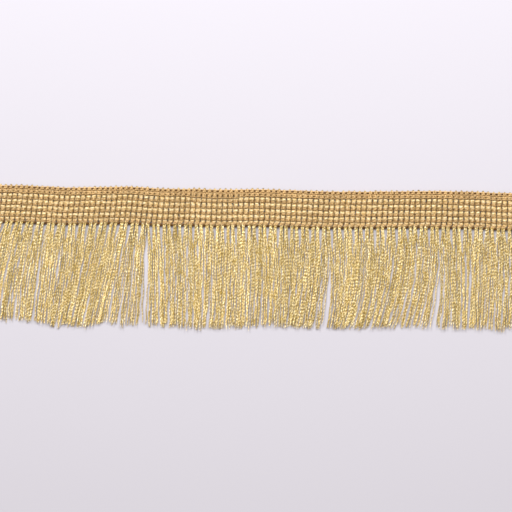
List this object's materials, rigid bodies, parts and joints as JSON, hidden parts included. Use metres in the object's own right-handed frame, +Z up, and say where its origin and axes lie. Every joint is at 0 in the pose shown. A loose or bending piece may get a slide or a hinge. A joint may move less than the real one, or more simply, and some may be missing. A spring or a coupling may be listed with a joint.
{
  "type": "metallic fringe trim",
  "caption": "Flat length of gold metallic fringe trim: a crochet-knit heading with raised weft ribs, and cut fringe hanging in paired legs from its lock chain.",
  "frame": {"origin": "middle of the trim's box, on the surface that it lies on", "axes": "+X along the trim, +Y from the fringe tips to the knitted edge, +Z up from the surface, out of the face side"},
  "size_m": [0.2042, 0.0511, 0.0018],
  "materials": {
    "tan_chain_yarn": "matte",
    "gold_metallic_yarn": "metallic satin"
  },
  "bodies": {
    "root": {"heading": "tan_chain_yarn", "fringe": "gold_metallic_yarn"}
  },
  "joints": []
}
